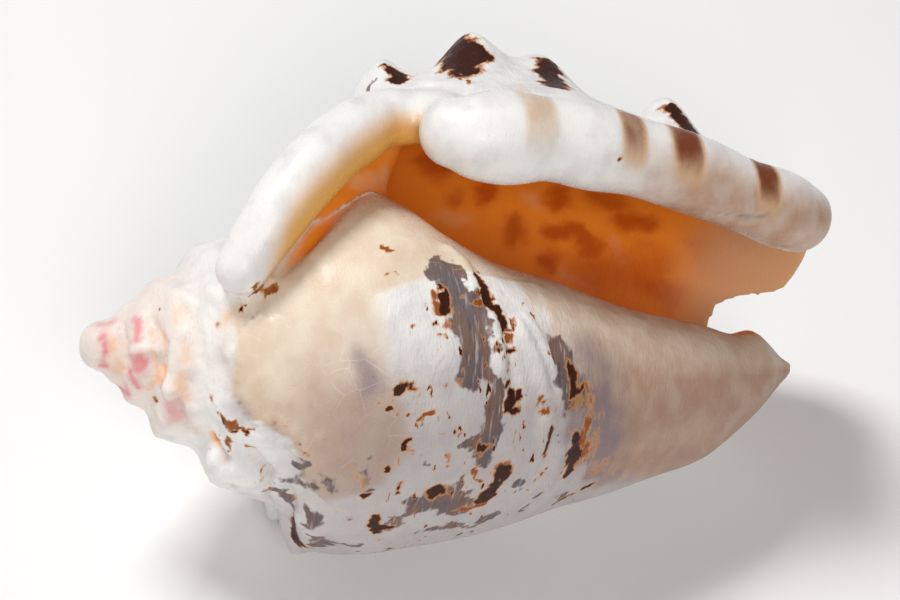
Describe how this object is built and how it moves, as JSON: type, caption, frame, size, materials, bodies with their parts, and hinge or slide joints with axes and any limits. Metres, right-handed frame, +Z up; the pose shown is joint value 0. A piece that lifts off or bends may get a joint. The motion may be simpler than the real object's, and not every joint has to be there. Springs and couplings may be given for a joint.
{
  "type": "spiral seashell",
  "caption": "Conch-like spiral seashell with a knobbed spire, a glazed callus, a thick flared outer lip and a long open aperture.",
  "frame": {"origin": "on the floor under the middle of the shell, at the bottom centre of its bounding box", "axes": "+X along the shell's length from the apex to the front end, +Z up as it lies on its knobbed back, aperture turned up and towards -Y"},
  "size_m": [0.0846, 0.0506, 0.0524],
  "materials": {
    "shell": "glazed shell: cream callus, orange inside, white back with brown and grey blotches"
  },
  "bodies": {
    "root": {"shell": "shell"}
  },
  "joints": []
}
